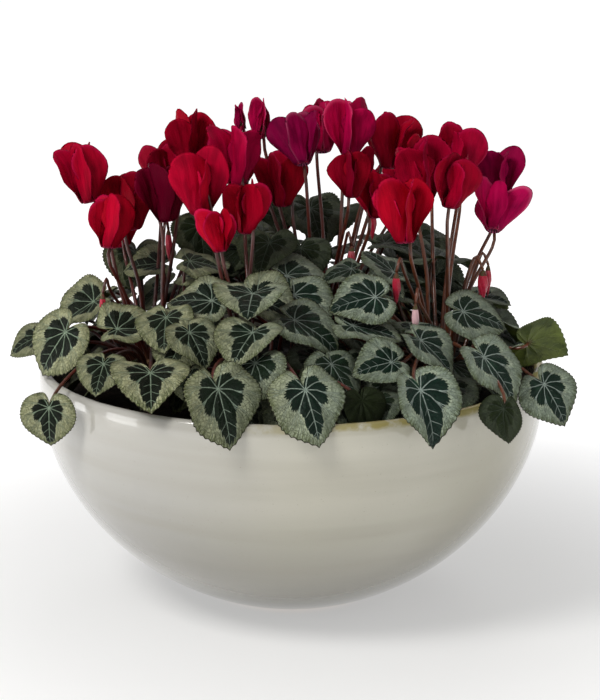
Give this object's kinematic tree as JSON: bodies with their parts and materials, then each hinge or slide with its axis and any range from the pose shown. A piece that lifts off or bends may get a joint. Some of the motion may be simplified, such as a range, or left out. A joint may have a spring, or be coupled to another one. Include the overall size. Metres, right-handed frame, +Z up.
{
  "type": "potted cyclamen",
  "caption": "Wide round glazed bowl densely planted with small silver-leaved cyclamen in full bloom.",
  "frame": {"origin": "on the ground at the centre of the bowl's flat foot", "axes": "+Z up; -Y towards the front, where most leaves hang over the rim; +X to the right of someone who looks at the front"},
  "size_m": [0.3504, 0.3437, 0.31],
  "materials": {
    "glaze": "gloss",
    "soil": "matte",
    "tuber": "matte",
    "leaf": "satin",
    "petal": "matte"
  },
  "bodies": {
    "root": {"bowl": "glaze", "bud_01": "petal", "bud_02": "petal", "bud_03": "petal", "bud_04": "petal", "bud_05": "petal", "bud_06": "petal", "flower_01": "petal", "flower_02": "petal", "flower_03": "petal", "flower_04": "petal", "flower_05": "petal", "flower_06": "petal", "flower_07": "petal", "flower_08": "petal", "flower_09": "petal", "flower_10": "petal", "flower_11": "petal", "flower_12": "petal", "flower_13": "petal", "flower_14": "petal", "flower_15": "petal", "flower_16": "petal", "flower_17": "petal", "flower_18": "petal", "flower_19": "petal", "flower_20": "petal", "flower_21": "petal", "flower_22": "petal", "leaf_01": "leaf", "leaf_02": "leaf", "leaf_03": "leaf", "leaf_04": "leaf", "leaf_05": "leaf", "leaf_06": "leaf", "leaf_07": "leaf", "leaf_08": "leaf", "leaf_09": "leaf", "leaf_10": "leaf", "leaf_11": "leaf", "leaf_12": "leaf", "leaf_13": "leaf", "leaf_14": "leaf", "leaf_15": "leaf", "leaf_16": "leaf", "leaf_17": "leaf", "leaf_18": "leaf", "leaf_19": "leaf", "leaf_20": "leaf", "leaf_21": "leaf", "leaf_22": "leaf", "leaf_23": "leaf", "leaf_24": "leaf", "leaf_25": "leaf", "leaf_26": "leaf", "soil": "soil", "tuber_back": "tuber", "tuber_front": "tuber", "tuber_left": "tuber", "tuber_right": "tuber"}
  },
  "joints": []
}
